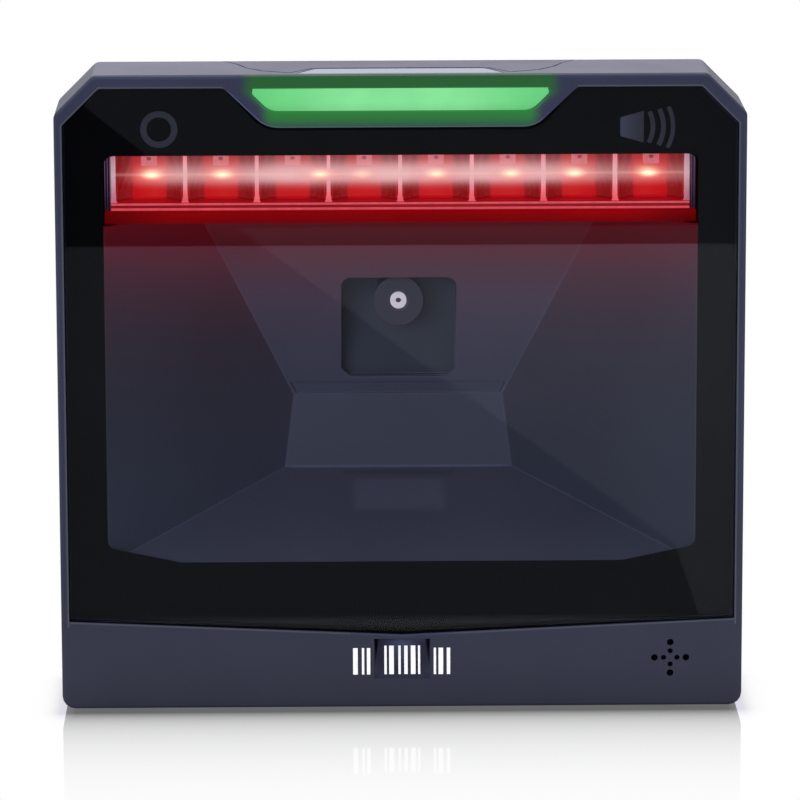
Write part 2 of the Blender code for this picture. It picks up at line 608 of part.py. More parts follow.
def main():
    for leftover in list(bpy.data.objects):
        bpy.data.objects.remove(leftover)
    front_bezel()
    window()
    indicators()
    top_key()
    touch_pads()
    hopper()
    lamp_bar()
    camera()
    electronics()
    speaker()
    rear_housing()
    fasteners()
    base()
    lamp_lead()


main()
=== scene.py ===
"""Looks of the desktop barcode scanner: finished surfaces, lit lamps and procedural materials."""

import json
import math

import bmesh
import bpy
from mathutils import Matrix, Vector
from mathutils.bvhtree import BVHTree

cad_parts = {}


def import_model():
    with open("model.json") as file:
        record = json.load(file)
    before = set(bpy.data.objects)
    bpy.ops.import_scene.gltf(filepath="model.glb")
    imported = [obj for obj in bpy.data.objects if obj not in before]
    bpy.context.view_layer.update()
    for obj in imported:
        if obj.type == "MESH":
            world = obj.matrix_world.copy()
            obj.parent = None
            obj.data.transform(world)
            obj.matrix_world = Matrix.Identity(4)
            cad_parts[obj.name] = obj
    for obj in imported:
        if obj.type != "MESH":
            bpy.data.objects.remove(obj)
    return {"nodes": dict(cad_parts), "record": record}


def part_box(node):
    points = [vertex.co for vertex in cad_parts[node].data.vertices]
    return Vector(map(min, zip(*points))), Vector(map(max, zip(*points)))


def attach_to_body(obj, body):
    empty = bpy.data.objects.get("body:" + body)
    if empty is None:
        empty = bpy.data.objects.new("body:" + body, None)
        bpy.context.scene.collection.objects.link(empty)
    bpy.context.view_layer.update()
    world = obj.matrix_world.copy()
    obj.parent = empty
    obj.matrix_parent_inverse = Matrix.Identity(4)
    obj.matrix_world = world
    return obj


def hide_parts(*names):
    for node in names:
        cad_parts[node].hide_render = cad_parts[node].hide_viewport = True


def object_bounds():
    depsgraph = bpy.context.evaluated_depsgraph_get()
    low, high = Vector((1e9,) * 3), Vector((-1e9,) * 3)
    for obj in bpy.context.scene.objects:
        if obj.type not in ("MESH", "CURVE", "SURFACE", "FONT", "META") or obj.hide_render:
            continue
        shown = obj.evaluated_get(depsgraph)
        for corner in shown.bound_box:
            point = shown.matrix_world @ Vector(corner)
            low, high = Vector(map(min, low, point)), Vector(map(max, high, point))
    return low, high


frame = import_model()
cad_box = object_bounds()
MM = 0.001
NODES = frame["nodes"]
BODY_OF = {node: body for body, nodes in frame["record"]["behaviour"]["bodies"].items() for node in nodes}
SLOT_OF = {row["node"]: row["material_slot"] for row in frame["record"]["subparts"]}

# The camera: its place in metres, its turns in degrees and its focal length in millimetres
CAMERA_AT = (-0.0167, -1.2599, 0.3302)
CAMERA_HEADING = -0.77
CAMERA_TILT = -11.84
CAMERA_ROLL = 0.16
CAMERA_LENS = 240.4

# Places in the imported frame, in metres
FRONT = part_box("front_bezel")[0].y
LENS_LOW, LENS_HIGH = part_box("front_indicator_lens")
GLASS_LOW, GLASS_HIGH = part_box("scan_window")
MASK_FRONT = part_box("window_mask")[0].y
BAR_LOW, BAR_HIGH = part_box("led_lens_bar")
HOLDER_LOW, HOLDER_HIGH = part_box("led_bar_holder")
LAMPS = [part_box(f"led_{i + 1}") for i in range(8)]
LAMP_X = [(low.x + high.x) / 2 for low, high in LAMPS]
LAMP_TOP = LAMPS[0][1].z
CELL_PITCH = LAMP_X[1] - LAMP_X[0]

# The glass's outline: the size of its top corners' chamfer, its notch's half width and its lower edge's rise
GLASS_CHAMFER = 8.5 * MM
NOTCH_END = 40.8 * MM
GLASS_RISE = 0.045

# The edge of the shade on the hopper: its height at the front of the object, and its fall with depth
SHADE_EDGE = 111.6 * MM
SHADE_SLOPE = 0.18

# Lamp bar, in millimetres: its front wall, its floor and the reflectors' depth behind its face
BAR_WALL = 1.2
BAR_FLOOR = 1.7
CELL_BACK = 7.2

# How far the lamps' glow and streak stand below the lamps' tops, in millimetres, and the sight line's slope
GLOW_DROP = 4.1
STREAK_DROP = 5.3
SIGHT_DROP = 0.205

# Each lamp's hot spot: its shift to the right in millimetres, and its strength
HOT_SPOTS = ((0.7, 1.0), (0.4, 0.9), (6.4, 0.75), (-0.6, 0.35),
             (0.0, 0.75), (0.7, 0.8), (-1.3, 0.9), (-0.8, 1.0))

# Edges that are shorter than this (in millimetres) or bent by less than this (in degrees) stay as they are
SHORTEST_ROUNDED = 0.34
LEAST_BEND = 33.0

# The rounding's width, at most, as a share of the clear width beside an edge
ROOM_SHARE = 0.4

# The finger recess in the chin, in millimetres
SCOOP_HALF = 6.6
SCOOP_LOW = 8.0
SCOOP_TOP = 17.6

# Plastics
SHELL = (0.035, 0.039, 0.078)
CAVITY = (0.112, 0.134, 0.195)
BLACK = (0.012, 0.012, 0.014)
WHITE = (1.0, 1.0, 1.0)


# ---------------------------------------------------------------- materials

class Look:
    """A Principled material, with short calls that add nodes to it."""

    def __init__(self, name, colour=(0.5, 0.5, 0.5), roughness=0.5, metallic=0.0):
        self.material = bpy.data.materials.new(name)
        self.material.use_nodes = True
        self.tree = self.material.node_tree
        self.plastic = self.tree.nodes["Principled BSDF"]
        self.output = self.tree.nodes["Material Output"]
        self.place = self.node("ShaderNodeTexCoord").outputs["Object"]
        self.set("Base Color", colour)
        self.set("Roughness", roughness)
        self.set("Metallic", metallic)

    def feed(self, socket, value):
        """Links a socket to this input, or gives the input a value."""
        if isinstance(value, bpy.types.NodeSocket):
            self.tree.links.new(value, socket)
        elif socket.type == "RGBA":
            socket.default_value = (*value, 1.0)
        else:
            socket.default_value = value

    def set(self, name, value):
        self.feed(self.plastic.inputs[name], value)

    def node(self, kind, inputs=None, **settings):
        made = self.tree.nodes.new(kind)
        for key, value in settings.items():
            setattr(made, key, value)
        for key, value in (inputs or {}).items():
            self.feed(made.inputs[key], value)
        return made

    def math(self, operation, a, b=0.0):
        return self.node("ShaderNodeMath", {0: a, 1: b}, operation=operation).outputs[0]

    def add(self, a, b):
        return self.math("ADD", a, b)

    def less(self, a, b):
        return self.math("SUBTRACT", a, b)

    def times(self, a, *others):
        for b in others:
            a = self.math("MULTIPLY", a, b)
        return a

    def over(self, a, b):
        return self.math("DIVIDE", a, b)

    def size(self, a):
        return self.math("ABSOLUTE", a)

    def above(self, value, limit):
        """1 where the value is over this limit, and 0 elsewhere."""
        return self.math("GREATER_THAN", value, limit)

    def under(self, value, limit):
        return self.math("LESS_THAN", value, limit)

    def least_zero(self, value):
        return self.math("MAXIMUM", value, 0.0)

    def most_one(self, value):
        return self.math("MINIMUM", value, 1.0)

    def axis(self, name):
        """One coordinate of the shaded place."""
        return self.node("ShaderNodeSeparateXYZ", {0: self.place}).outputs[name]

    def facing(self, name):
        """One part of the direction that the surface faces."""
        normal = self.node("ShaderNodeNewGeometry").outputs["Normal"]
        return self.node("ShaderNodeSeparateXYZ", {0: normal}).outputs[name]

    def fading(self, distance, reach):
        """1 at no distance, and 1/e for each reach further."""
        return self.math("POWER", math.e, self.over(distance, -reach))

    def bell(self, value, centre, width):
        """1 at the centre, and 1/e at this distance from it."""
        offset = self.over(self.less(value, centre), width)
        return self.math("POWER", math.e, self.times(offset, offset, -1.0))

    def span(self, value, low, high, at_low=0.0, at_high=1.0):
        """A smooth step between two results as the value goes from low to high."""
        return self.node("ShaderNodeMapRange", {0: value, 1: low, 2: high, 3: at_low, 4: at_high},
                         interpolation_type="SMOOTHSTEP").outputs[0]

    def noise(self, size, detail=3.0, rough=0.5, stretch=(1, 1, 1)):
        """Noise with features this many millimetres across."""
        scaled = self.node("ShaderNodeMapping", {"Vector": self.place, "Scale": stretch}).outputs[0]
        inputs = {"Vector": scaled, "Scale": 1 / (size * MM), "Detail": detail, "Roughness": rough}
        return self.node("ShaderNodeTexNoise", inputs).outputs[0]

    def mix(self, factor, a, b):
        return self.node("ShaderNodeMix", {0: factor, 6: a, 7: b}, data_type="RGBA").outputs[2]

    def mix_value(self, factor, a, b):
        return self.node("ShaderNodeMix", {0: factor, 2: a, 3: b}, data_type="FLOAT").outputs[0]

    def scaled(self, colour, factor):
        return self.node("ShaderNodeVectorMath", {0: colour, "Scale": factor}, operation="SCALE").outputs[0]

    def bump(self, height, depth):
        """Relief of this depth in millimetres."""
        self.set("Normal", self.node("ShaderNodeBump", {"Height": height, "Distance": depth * MM}).outputs[0])

    def emit(self, colour, strength=1.0):
        self.set("Emission Color", colour)
        self.set("Emission Strength", strength)

    def surface(self, socket):
        self.feed(self.output.inputs["Surface"], socket)

    def shader(self, kind, inputs):
        return self.node(kind, inputs).outputs[0]

    def surface_mix(self, factor, a, b):
        self.surface(self.shader("ShaderNodeMixShader", {0: factor, 1: a, 2: b}))


def toned(colour, factor):
    return tuple(min(1.0, part * factor) for part in colour)


def moulded(name, colour, roughness=0.42, grain=0.3, depth=0.02):
    """Moulded plastic with a spark-eroded grain, faint clouding and patches of polish."""
    look = Look(name)
    cloud = look.span(look.noise(40.0, 3.0), 0.3, 0.7)
    look.set("Base Color", look.mix(cloud, toned(colour, 0.92), toned(colour, 1.06)))
    look.set("Roughness", look.span(look.noise(16.0, 5.0), 0.25, 0.75, roughness - 0.02, roughness + 0.025))
    look.bump(look.noise(grain, 3.0, 0.6), depth)
    return look


def edge_wear_and_highlight(name, colour):
    """The same plastic on rounded edges: lighter throughout as a painted highlight, and lighter and glossier
    in patches polished by handling.
    """
    look = Look(name)
    rubbed = look.span(look.noise(7.0, 5.0, 0.6), 0.35, 0.7)
    # Painted highlight: the edge is 1.1 to 1.75 times lighter than the plastic, most in the polished patches.
    look.set("Base Color", look.mix(rubbed, toned(colour, 1.1), toned(colour, 1.75)))
    look.set("Roughness", look.span(rubbed, 0.0, 1.0, 0.39, 0.28))
    look.bump(look.noise(0.3), 0.006)
    return look


def metal(name, colour, roughness):
    """Plated metal with fine drawn streaks."""
    look = Look(name, colour, roughness, 1.0)
    streaks = look.noise(0.9, 5.0, 0.6, (1, 1, 14))
    look.set("Roughness", look.span(streaks, 0.3, 0.7, roughness - 0.07, roughness + 0.1))
    look.set("Base Color", look.mix(look.noise(6.0), toned(colour, 0.8), colour))
    look.bump(streaks, 0.004)
    return look


def rubber(name, colour):
    look = Look(name)
    look.set("Base Color", look.mix(look.noise(3.0, 5.0), toned(colour, 0.6), colour))
    look.set("Roughness", look.span(look.noise(2.0, 4.0), 0.3, 0.7, 0.72, 0.92))
    look.bump(look.noise(0.3, 4.0, 0.7), 0.02)
    return look


def circuit():
    """Green solder mask over copper tracks, with tinned pads."""
    look = Look("circuit_board", roughness=0.35)
    tracks = look.node("ShaderNodeTexBrick", {
        "Vector": look.place, "Scale": 1 / (3.2 * MM), "Mortar Size": 0.035, "Color1": (0.01, 0.1, 0.045),
        "Color2": (0.012, 0.13, 0.055), "Mortar": (0.03, 0.22, 0.09)})
    pads = look.node("ShaderNodeTexVoronoi", {"Vector": look.place, "Scale": 1 / (2.4 * MM)}).outputs[0]
    tinned = look.under(pads, 0.14)
    look.set("Base Color", look.mix(tinned, tracks.outputs[0], (0.55, 0.53, 0.47)))
    look.set("Metallic", look.times(tinned, 0.9))
    look.bump(tracks.outputs[1], 0.02)
    return look


def epoxy():
    look = Look("chip_black", (0.018, 0.018, 0.02))
    look.set("Roughness", look.span(look.noise(0.8, 4.0), 0.3, 0.7, 0.42, 0.66))
    look.bump(look.noise(0.15, 3.0), 0.008)
    return look


def window_glass():
    """A thin coated pane that lets light through and reflects a little of the room."""
    look = Look("window_glass")
    fresnel = look.node("ShaderNodeFresnel", {"IOR": 1.45}).outputs[0]
    smear = look.span(look.noise(38.0, 4.0, 0.6, (1, 1, 0.6)), 0.3, 0.75, 0.95, 1.05)
    clear = look.shader("ShaderNodeBsdfTransparent", {"Color": (0.86, 0.87, 0.9)})
    gloss = look.shader("ShaderNodeBsdfGlossy", {"Color": (0.92, 0.95, 1.0), "Roughness": 0.0})
    look.surface_mix(look.times(fresnel, smear, 0.3), clear, gloss)
    return look


def black_print(name):
    """Ink printed behind the glass, and the glass's own dark edge."""
    look = Look(name, roughness=0.5)
    thin, thick = (0.0036, 0.0036, 0.0045), (0.0028, 0.0028, 0.0034)
    look.set("Base Color", look.mix(look.noise(12.0, 4.0), thick, thin))
    look.set("Specular IOR Level", 0.1)
    return look


def mark_print():
    """Slate ink, with a painted highlight at the left end of the right mark."""
    look = Look("mark_print", roughness=0.4)
    # Painted highlight: the left end of the right mark is lighter.
    left = look.span(look.axis("X"), 50 * MM, 56 * MM, 1.0, 0.0)
    right_mark = look.above(look.axis("X"), 0.0)
    ink = look.mix(look.noise(1.5, 3.0), (0.055, 0.058, 0.075), (0.075, 0.079, 0.104))
    look.set("Base Color", look.mix(look.times(left, right_mark, 0.75), ink, (0.16, 0.18, 0.25)))
    look.bump(look.noise(0.3), 0.003)
    return look


def lens_glow(look):
    """How strongly a place on the bezel's front glows from the lit lens behind it."""
    x, z = look.size(look.axis("X")), look.axis("Z")
    half = look.span(z, LENS_LOW.z, LENS_HIGH.z, LENS_HIGH.x - 5.0 * MM, LENS_HIGH.x - 0.6 * MM)
    beside = look.times(look.least_zero(look.less(x, half)), 1.35)
    below = look.least_zero(look.less(LENS_LOW.z, z))
    above = look.times(look.least_zero(look.less(z, LENS_HIGH.z)), 0.45)
    upright = look.add(below, above)
    distance = look.math("SQRT", look.add(look.times(beside, beside), look.times(upright, upright)))
    near = look.span(distance, 0.2 * MM, 5.4 * MM, 1.0, 0.0)
    skin = look.span(look.axis("Y"), FRONT + 0.5 * MM, FRONT + 3.0 * MM, 1.0, 0.0)
    return look.times(near, skin)


def glass_edge(look):
    """A painted highlight: a thin light line on the bezel's front face, just outside the scan window."""
    x, z = look.size(look.axis("X")), look.axis("Z")
    corner_x, corner_z = GLASS_HIGH.x - GLASS_CHAMFER, GLASS_HIGH.z - GLASS_CHAMFER
    gap, width = 0.42 * MM, 0.17 * MM
    slope_gap, slope_width = 0.6 * MM, 0.24 * MM
    side = look.times(look.bell(x, GLASS_HIGH.x + gap, width), look.under(z, corner_z),
                      look.above(z, GLASS_LOW.z + 2 * MM))
    top = look.times(look.bell(z, GLASS_HIGH.z + gap, width), look.above(x, NOTCH_END),
                     look.under(x, corner_x))
    slope = look.times(look.bell(look.add(x, z), GLASS_HIGH.x + corner_z + slope_gap, slope_width),
                       look.above(x, corner_x), look.above(z, corner_z))
    chin = look.times(look.bell(look.less(z, look.times(x, GLASS_RISE)), GLASS_LOW.z - gap, width), 0.8,
                      look.under(x, GLASS_HIGH.x), look.above(x, 12 * MM))
    front = look.under(look.axis("Y"), FRONT + 0.3 * MM)
    return look.times(look.add(look.add(side, top), look.add(slope, chin)), front)


def bezel_plastic(name, colour, lighten):
    """The housing plastic with painted light and shade: lighter up the rims and darker at the foot of the
    chin, shaded behind its front edge and on its chamfers, with a painted highlight in the finger recess and
    a light line round the scan window, and lit green round the lens.
    """
    look = moulded(name, colour)
    glow = lens_glow(look)
    x, y, z = look.axis("X"), look.less(look.axis("Y"), FRONT), look.axis("Z")
    # Painted light and shade: darker towards the bottom of the chin, and lighter higher up.
    height = look.add(look.span(z, 2 * MM, 20 * MM, 0.78, 1.0), look.span(z, 25 * MM, 90 * MM, 0.0, 0.2))
    sideways = look.size(look.facing("X"))
    outward = look.span(look.math("MAXIMUM", look.facing("Z"), sideways), 0.5, 0.7)
    # Painted shade: a dark line on the top and side faces just behind the front edge, which also dims their
    # sheen.
    painted_edge_shade = look.less(1.0, look.times(look.bell(y, 1.5 * MM, 0.95 * MM), outward, 0.85))
    # Painted shade: the 45 degree chamfers are made darker.
    chamfer = look.bell(sideways, 0.707, 0.16)
    painted_chamfer_shade = look.less(1.0, look.times(chamfer, 0.3))
    # Painted light: the front face is lighter up the rims, above the chin.
    rim = look.add(1.0, look.times(look.bell(y, 0.2 * MM, 0.2 * MM), look.span(z, 20 * MM, 60 * MM), 0.5))
    height = look.times(height, painted_edge_shade, rim, painted_chamfer_shade)
    # Painted light and shade in the finger recess: a painted highlight down its middle, brightest at the top,
    # and darker sides.
    inside = look.times(look.under(look.size(x), (SCOOP_HALF - 0.2) * MM),
                        look.span(y, 0.1 * MM, 1.0 * MM), look.under(z, SCOOP_TOP * MM))
    shine = look.times(look.bell(x, 0.0, 3.4 * MM), look.span(z, SCOOP_LOW * MM, SCOOP_TOP * MM), 2.6)
    height = look.times(height, look.add(1.0, look.times(inside, look.less(shine, 0.35))))
    cloud = look.span(look.noise(40.0, 3.0), 0.3, 0.7)
    plain = look.scaled(look.mix(cloud, toned(colour, 0.92 * lighten), toned(colour, 1.06 * lighten)), height)
    # Painted highlight: a thin light line round the scan window.
    plain = look.mix(glass_edge(look), plain, (0.13, 0.135, 0.155))
    look.set("Base Color", look.mix(look.times(glow, 0.9), plain, (0.002, 0.006, 0.003)))
    look.set("Specular IOR Level", look.times(painted_edge_shade, painted_edge_shade, painted_chamfer_shade, 0.5))
    green = look.mix(look.span(z, LENS_LOW.z, LENS_HIGH.z), (0.016, 0.185, 0.022), (0.011, 0.1, 0.014))
    look.emit(green, glow)
    return look


def green_lens():
    look = Look("green_lens", (0.02, 0.06, 0.025), 0.3)
    end = look.span(look.size(look.axis("X")), 10 * MM, LENS_HIGH.x, 0.0, 1.0)
    low = look.span(look.axis("Z"), LENS_LOW.z, LENS_LOW.z + 2.2 * MM, 0.86, 1.0)
    cloud = look.span(look.noise(9.0, 3.0), 0.3, 0.7, 0.95, 1.03)
    look.emit(look.mix(end, (0.225, 0.74, 0.3), (0.12, 0.59, 0.19)), look.times(low, cloud))
    look.bump(look.noise(0.25), 0.004)
    return look


def pale_lens():
    look = Look("pale_lens", (0.27, 0.3, 0.35), 0.3)
    look.set("Base Color", look.mix(look.noise(6.0, 3.0), (0.25, 0.29, 0.33), (0.29, 0.32, 0.37)))
    look.bump(look.noise(0.2), 0.004)
    return look


def red_holder():
    """Dark plastic under the lamp bar, soaked in its red light."""
    look = Look("lamp_holder", (0.008, 0.001, 0.0015), 0.45)
    look.set("Specular IOR Level", 0.1)
    rise = look.span(look.axis("Z"), HOLDER_LOW.z, BAR_LOW.z, 0.62, 1.0)
    streak = look.span(look.noise(16.0, 4.0, 0.6, (0.3, 1, 3.0)), 0.3, 0.75, 0.8, 1.12)
    end = look.span(look.size(look.axis("X")), 52 * MM, HOLDER_HIGH.x, 1.0, 0.55)
    look.emit((0.37, 0.0008, 0.003), look.times(rise, streak, end))
    look.bump(look.noise(0.3), 0.004)
    return look


def painted_floor_reflection(look):
    """A painted reflection on the hopper's floor: a lighter patch in the middle, with a painted dark and
    light line behind it.
    """
    x, back = look.size(look.axis("X")), look.less(look.axis("Y"), FRONT)
    low = look.under(look.axis("Z"), 46.5 * MM)

    def middle(start, end):
        return look.span(x, start * MM, end * MM, 1.0, 0.0)

    along = look.times(look.span(back, 31 * MM, 36 * MM), look.span(back, 50 * MM, 53 * MM, 1.0, 0.0))
    reflection_patch = look.times(middle(9.5, 12.0), along, 0.45)
    line = look.times(middle(13.0, 14.0), look.bell(back, 55.5 * MM, 1.6 * MM), -0.25)
    seam = look.times(middle(25.0, 27.0), look.bell(back, 58.8 * MM, 0.7 * MM), 0.3)
    return look.add(1.0, look.times(low, look.add(look.add(reflection_patch, line), seam)))


def hopper_plastic(name, colour):
    """Slate plastic with painted light and shade: the shade of the lamp bar and its red glow, which reddens
    its upper part, and walls and faces lighter or darker by height and by which way they face.
    """
    look = moulded(name, colour, 0.34, 0.35, 0.008)
    x, z = look.axis("X"), look.axis("Z")
    inward = look.times(look.less(look.axis("Y"), FRONT), SHADE_SLOPE)
    depth = look.less(look.less(SHADE_EDGE, z), inward)
    below_edge = look.above(depth, 0.0)
    # Painted shade: the right wall darker low down, the walls darker towards the top, and faces lighter or
    # darker by which way they lean and darker near the shade's edge.
    right_low = look.times(look.above(x, 0.0), look.span(z, 50 * MM, 85 * MM, 0.22, 0.0))
    wall = look.times(look.span(z, 35 * MM, 90 * MM, 1.0, 0.72), look.less(1.0, right_low))
    upward = look.facing("Z")
    leaning = look.times(look.span(upward, -0.4, -0.1, 1.2, 0.95), look.span(upward, 0.3, 0.8, 1.0, 1.3),
                         look.span(depth, -2 * MM, 15 * MM, 0.58, 1.0))
    on_wall = look.span(look.size(look.facing("X")), 0.3, 0.8)
    lit = look.times(look.mix_value(on_wall, leaning, wall), painted_floor_reflection(look))
    shade = look.mix_value(below_edge, 0.05, look.span(depth, 0.0, 5 * MM, 0.85, 1.0))
    cloud = look.span(look.noise(34.0, 3.0), 0.3, 0.7)
    slate = look.mix(cloud, toned(colour, 0.94), toned(colour, 1.05))
    look.set("Base Color", look.scaled(look.mix(shade, (0.0015, 0.001, 0.002), slate), lit))
    # Painted red glow of the lamp bar: strongest about the shade's edge and fading further down.
    over_edge = look.times(look.fading(look.math("MAXIMUM", depth, -5.3 * MM), 16 * MM), 0.7)
    look.emit((0.1, 0.002, 0.0055), look.mix_value(below_edge, over_edge, look.fading(depth, 11 * MM)))
    return look


def reflector(index, shift, power):
    """Reflector facets behind one lamp, with its light painted on as a glow: a hot spot over a red wash that
    darkens into the corners.
    """
    look = Look(f"lamp_reflector_{index + 1}", (0.03, 0.002, 0.003), 0.3)
    x = look.less(look.axis("X"), LAMP_X[index])
    z = look.less(look.axis("Z"), LAMP_TOP - (GLOW_DROP + SIGHT_DROP * CELL_BACK) * MM)

    def halo(width, height):
        """A soft oval spot, in millimetres, at the lamp's hot spot."""
        return look.times(look.bell(x, shift * MM, width * MM), look.bell(z, 0.0, height * MM))

    corner = look.span(look.size(x), 2.0 * MM, 9.0 * MM, 1.0, 0.7)
    upper = look.span(z, -1.0 * MM, 3.5 * MM)
    wash = look.mix(upper, (0.6, 0.0035, 0.007), (0.42, 0.02, 0.026))
    low = look.span(z, -8.0 * MM, -4.0 * MM, 0.82, 1.0)
    glow = look.mix(look.times(halo(4.6, 2.6), 0.8 * power), wash, (0.95, 0.03, 0.025))
    glow = look.mix(look.times(halo(2.3, 0.95), power), glow, (1.0, 0.42, 0.16))
    glow = look.mix(look.times(halo(1.3, 0.6), power), glow, (1.0, 0.88, 0.58))
    # Painted shade: facets that face sideways glow less.
    facet = look.span(look.size(look.facing("X")), 0.08, 0.6, 1.06, 0.54)
    hot = look.times(halo(3.2, 1.6), power)
    look.emit(glow, look.times(look.mix_value(hot, look.times(corner, low, facet), 1.0), 1.12))
    return look


def lit_edge(name, colour, strength=1.0):
    """An edge of clear plastic that pipes the lamps' light, palest level with the hot spots."""
    look = Look(name, toned(colour, 0.15), 0.2)
    level = look.bell(look.axis("Z"), LAMP_TOP - (STREAK_DROP - 0.5) * MM, 4.2 * MM)
    flecks = look.span(look.noise(2.2, 4.0, 0.6, (1, 1, 0.4)), 0.25, 0.75, 0.82, 1.1)
    pale = tuple(part * 0.5 + 0.44 for part in colour)
    look.emit(look.mix(level, colour, pale), look.times(flecks, strength))
    return look


def lamp_clear():
    """The bar's clear front: a warm haze, a thin streak and the lamps' hot spots thrown across it."""
    look = Look("lamp_clear")
    x, z = look.axis("X"), look.less(look.axis("Z"), LAMP_TOP - STREAK_DROP * MM)
    left_rise = look.span(x, -66 * MM, -50 * MM, 0.0, 0.55)
    inner_rise = look.span(x, -42 * MM, -22 * MM, 0.0, 0.45)
    middle = look.times(look.add(left_rise, inner_rise), look.span(x, 18 * MM, 60 * MM, 1.0, 0.16))
    patches = look.span(look.noise(11.0, 2.0, 0.5, (1, 1, 0.4)), 0.35, 0.65, 0.8, 1.1)
    reach = look.span(z, -0.3 * MM, 0.3 * MM, 1.65 * MM, 2.4 * MM)
    band = look.times(look.bell(z, 0.0, reach), middle, patches, 0.8)
    haze = look.add(band, look.times(look.span(z, -1.0 * MM, 3.0 * MM), middle, patches, 0.035))
    hot, red = 0.0, 0.0
    for centre, (shift, power) in zip(LAMP_X, HOT_SPOTS):
        across = look.less(x, centre + shift * MM)
        spark = look.times(look.bell(across, 0.0, 1.9 * MM), look.bell(z, 0.3 * MM, 0.8 * MM), power)
        glow = look.times(look.bell(across, 0.0, 4.2 * MM), look.bell(z, -0.1 * MM, 1.3 * MM), 0.5 * power)
        hot, red = look.add(hot, spark), look.add(red, glow)
    streak = look.times(look.bell(z, 0.3 * MM, 0.3 * MM), look.add(look.times(red, 0.35), 0.12))
    redness = look.most_one(look.over(red, look.add(look.add(red, haze), 0.1)))
    colour = look.mix(redness, (0.94, 0.52, 0.5), (0.97, 0.075, 0.05))
    colour = look.mix(look.most_one(look.add(hot, streak)), colour, (1.0, 0.7, 0.42))
    share = look.math("MINIMUM", look.add(look.add(look.add(haze, streak), hot), look.times(red, 0.8)), 0.97)
    light = look.shader("ShaderNodeEmission", {"Color": colour, "Strength": look.add(1.22, hot)})
    clear = look.shader("ShaderNodeBsdfTransparent", {"Color": (0.98, 0.95, 0.95)})
    look.surface_mix(share, clear, light)
    return look


def end_cap_plastic():
    """The dark plastic past each end of the bar, with a painted dim plum glow, brightest in thin ribs and
    fainter low down.
    """
    look = Look("lamp_end_cap", (0.03, 0.022, 0.04), 0.25)
    pitch = 0.62 * MM
    ribs = look.math("SINE", look.times(look.axis("X"), 2 * math.pi / pitch))
    level = look.span(look.axis("Z"), BAR_LOW.z, LAMP_TOP - GLOW_DROP * MM, 0.25, 1.0)
    plum_glow = look.mix(look.span(ribs, 0.55, 1.0), (0.03, 0.009, 0.02), (0.22, 0.13, 0.24))
    look.emit(plum_glow, look.times(level, 0.8))
    return look


def coated_lens():
    look = Look("lens_glass", roughness=0.03)
    tint = look.node("ShaderNodeLayerWeight", {"Blend": 0.4}).outputs["Facing"]
    look.set("Base Color", look.mix(tint, (0.01, 0.012, 0.03), (0.05, 0.03, 0.1)))
    look.set("Coat Weight", 1.0)
    return look


def white_print():
    look = Look("pictogram_print", roughness=0.45)
    look.set("Base Color", look.mix(look.noise(1.2, 4.0), (0.8, 0.8, 0.81), (0.88, 0.88, 0.89)))
    # Painted light: the print also glows faintly, so it stays bright whatever light falls on it.
    look.emit(WHITE, look.span(look.noise(2.0), 0.3, 0.7, 0.55, 0.6))
    look.bump(look.noise(0.15), 0.003)
    return look


# ---------------------------------------------------------------- mesh helpers

def attach(piece, node):
    """The piece rides with this node's body."""
    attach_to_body(piece, BODY_OF[node])


def stand_for(piece, node):
    """The piece is seen in place of this node."""
    attach(piece, node)
    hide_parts(node)


def new_piece(name, mesh, *looks, smooth=35.0):
    """A piece from a mesh, shaded smooth where it bends by less than this many degrees."""
    data = bpy.data.meshes.new(name)
    bmesh.ops.recalc_face_normals(mesh, faces=mesh.faces)
    mesh.to_mesh(data)
    mesh.free()
    for look in looks:
        data.materials.append(look.material)
    data.shade_smooth()
    data.set_sharp_from_angle(angle=math.radians(smooth))
    made = bpy.data.objects.new(name, data)
    bpy.context.scene.collection.objects.link(made)
    return made


def clear_width(edge):
    """The distance from this edge, across its faces, to the next edge that runs beside it."""
    ends = [vertex.co for vertex in edge.verts]
    middle, along = (ends[0] + ends[1]) / 2, (ends[1] - ends[0]).normalized()
    least = math.inf
    for face in edge.link_faces:
        across = face.normal.cross(along)
        for other in face.edges:
            if set(other.verts) & set(edge.verts):
                continue
            away = (other.verts[0].co + other.verts[1].co) / 2 - middle
            if abs(away.dot(along)) < (edge.calc_length() + other.calc_length()) / 2:
                least = min(least, abs(away.dot(across)))
    return least


def in_scoop(edge):
    """Whether an edge of the bezel belongs to the finger recess, whose rim is too shallow to round."""
    middle = (edge.verts[0].co + edge.verts[1].co) / 2
    low, high = (SCOOP_LOW - 2.0) * MM, (SCOOP_TOP + 0.4) * MM
    return middle.y < FRONT + 4 * MM and abs(middle.x) < (SCOOP_HALF + 0.6) * MM and low < middle.z < high


def on_label(edge):
    """Whether an edge of the rear housing belongs to the shallow recess that the label sits in."""
    low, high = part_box("rating_label")
    middle = (edge.verts[0].co + edge.verts[1].co) / 2
    return (middle.y > low.y - 1.0 * MM and abs(middle.x) < high.x + 1.0 * MM
            and low.z - 1.0 * MM < middle.z < high.z + 1.0 * MM)


